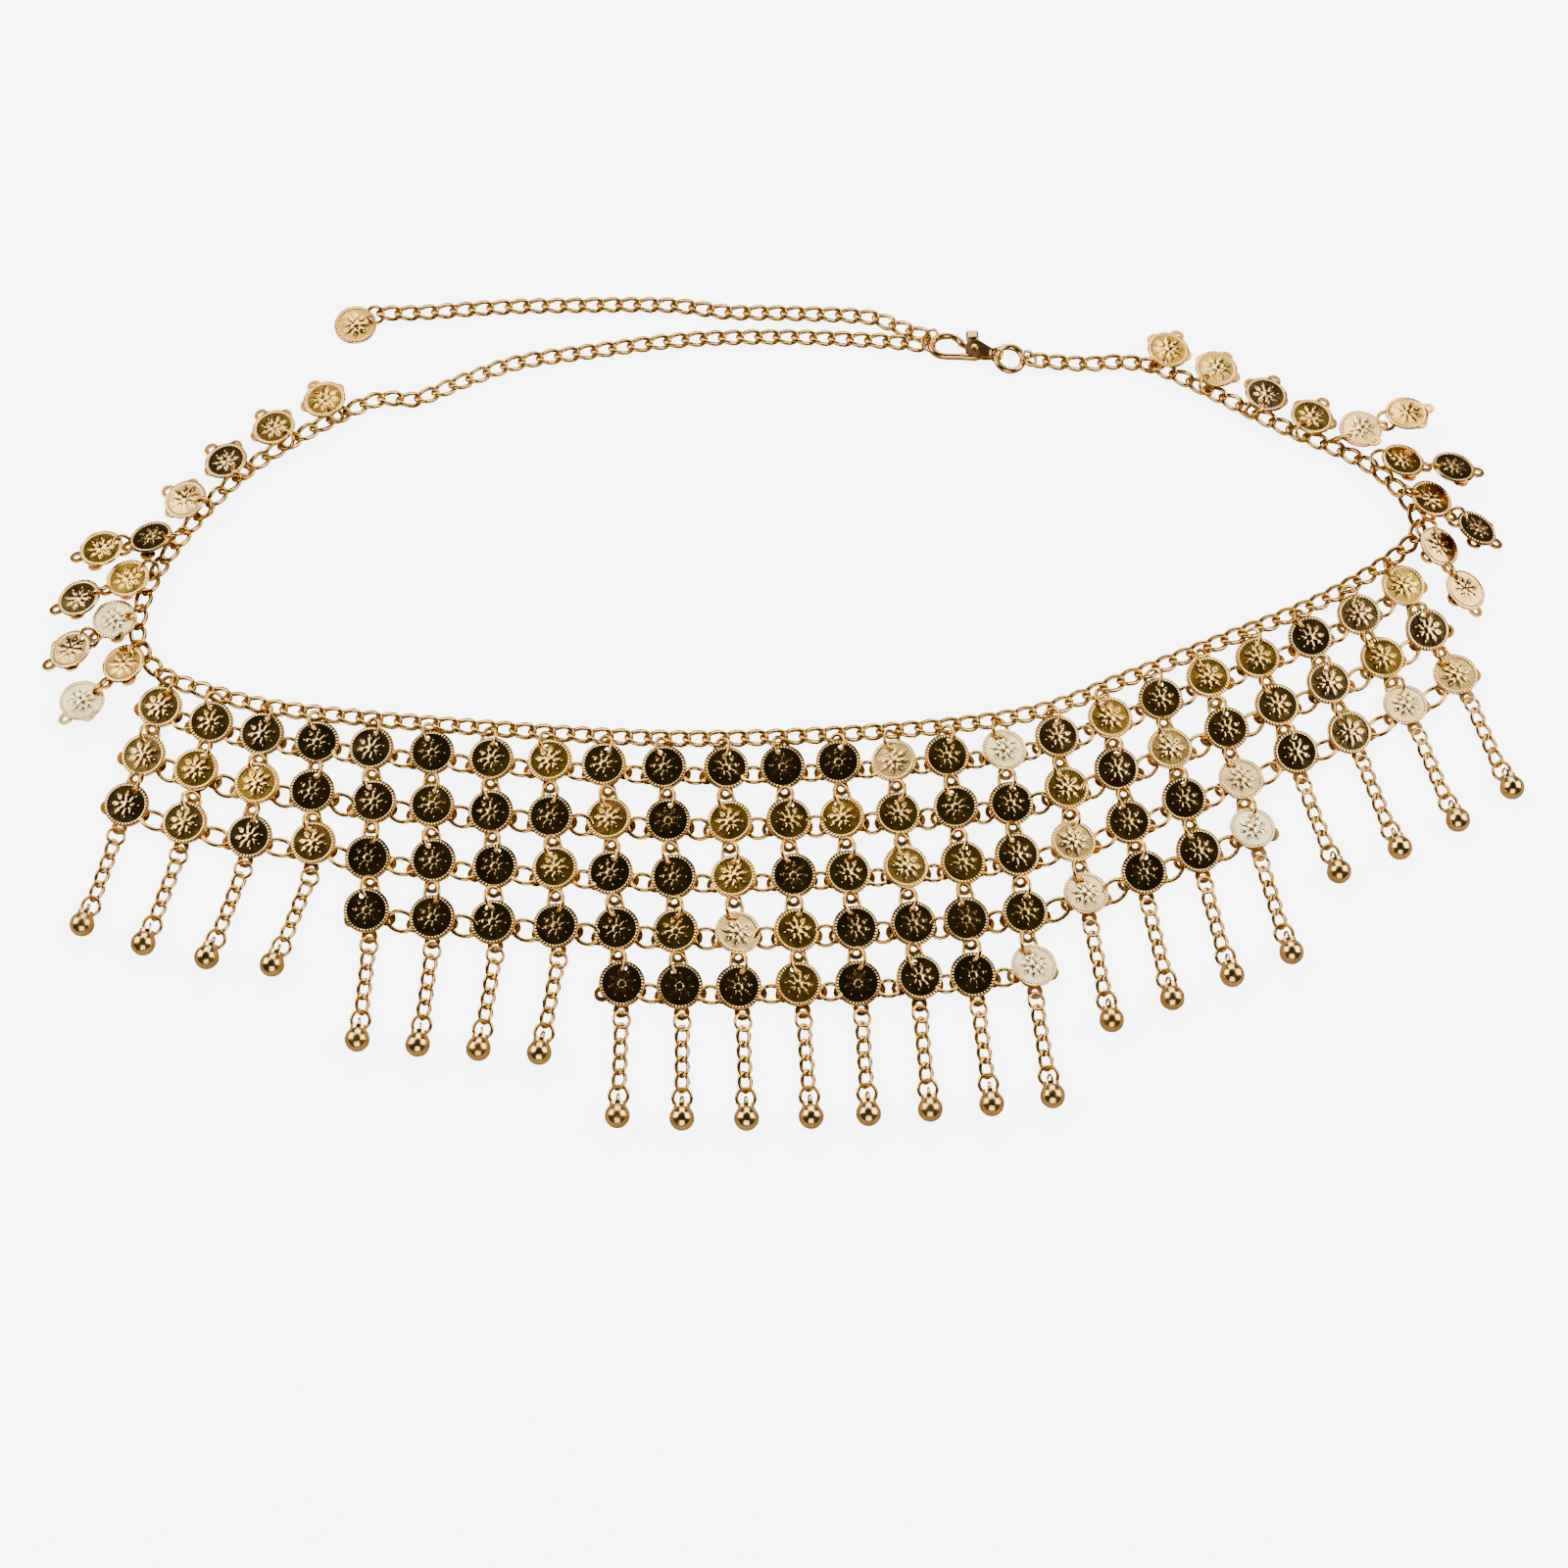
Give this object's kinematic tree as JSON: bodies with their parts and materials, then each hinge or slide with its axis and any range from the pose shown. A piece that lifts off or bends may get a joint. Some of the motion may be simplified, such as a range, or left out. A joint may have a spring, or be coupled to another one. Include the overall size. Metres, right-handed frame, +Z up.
{
  "type": "coin waist chain",
  "caption": "Gold waist chain laid flat as a closed loop: curb chain with a hanging net of coins and plates, short chain drops with round ends, a lobster clasp and a spare length.",
  "frame": {"origin": "bottom centre of the bounding box of the chain as it lies on the table", "axes": "+X to the right along the longest extent, +Y from the front of the loop to the clasp behind, +Z up from the table"},
  "size_m": [0.4626, 0.2825, 0.0086],
  "materials": {
    "net_gold": "polished gold plate",
    "chain_gold": "bright gold plate",
    "clasp_gold": "polished gold plate"
  },
  "bodies": {
    "belt": {"coin_column_01": "net_gold", "coin_column_02": "net_gold", "coin_column_03": "net_gold", "coin_column_04": "net_gold", "coin_column_05": "net_gold", "coin_column_06": "net_gold", "coin_column_07": "net_gold", "coin_column_08": "net_gold", "coin_column_09": "net_gold", "coin_column_10": "net_gold", "coin_column_11": "net_gold", "coin_column_12": "net_gold", "coin_column_13": "net_gold", "coin_column_14": "net_gold", "coin_column_15": "net_gold", "coin_column_16": "net_gold", "coin_column_17": "net_gold", "coin_column_18": "net_gold", "coin_column_19": "net_gold", "coin_column_20": "net_gold", "coin_column_21": "net_gold", "coin_column_22": "net_gold", "coin_column_23": "net_gold", "coin_column_24": "net_gold", "coin_column_25": "net_gold", "coin_column_26": "net_gold", "coin_column_27": "net_gold", "coin_column_28": "net_gold", "coin_column_29": "net_gold", "coin_column_30": "net_gold", "coin_column_31": "net_gold", "coin_column_32": "net_gold", "coin_column_33": "net_gold", "coin_column_34": "net_gold", "coin_column_35": "net_gold", "coin_column_36": "net_gold", "coin_column_37": "net_gold", "coin_column_38": "net_gold", "coin_column_39": "net_gold", "coin_column_40": "net_gold", "lead_chain_1": "chain_gold", "lead_chain_2": "chain_gold", "waist_chain_1": "chain_gold", "waist_chain_2": "chain_gold", "waist_chain_3": "chain_gold", "waist_chain_4": "chain_gold", "waist_chain_5": "chain_gold", "waist_chain_6": "chain_gold", "waist_chain_7": "chain_gold", "waist_chain_8": "chain_gold", "waist_chain_9": "chain_gold", "trail_chain": "chain_gold", "tail_chain_1": "chain_gold", "tail_chain_2": "chain_gold", "clasp_body": "clasp_gold", "clasp_ring": "clasp_gold", "end_tag": "net_gold"},
    "gate": {"clasp_gate": "clasp_gold"}
  },
  "joints": [
    {"name": "clasp_gate_hinge", "type": "hinge", "parent": "belt", "child": "gate", "pos_m": [0.06431, 0.12199, 0.0018], "axis": [0, 0, 1], "range_deg": [0, 25], "stiffness_Nm_per_rad": 0.0005}
  ]
}
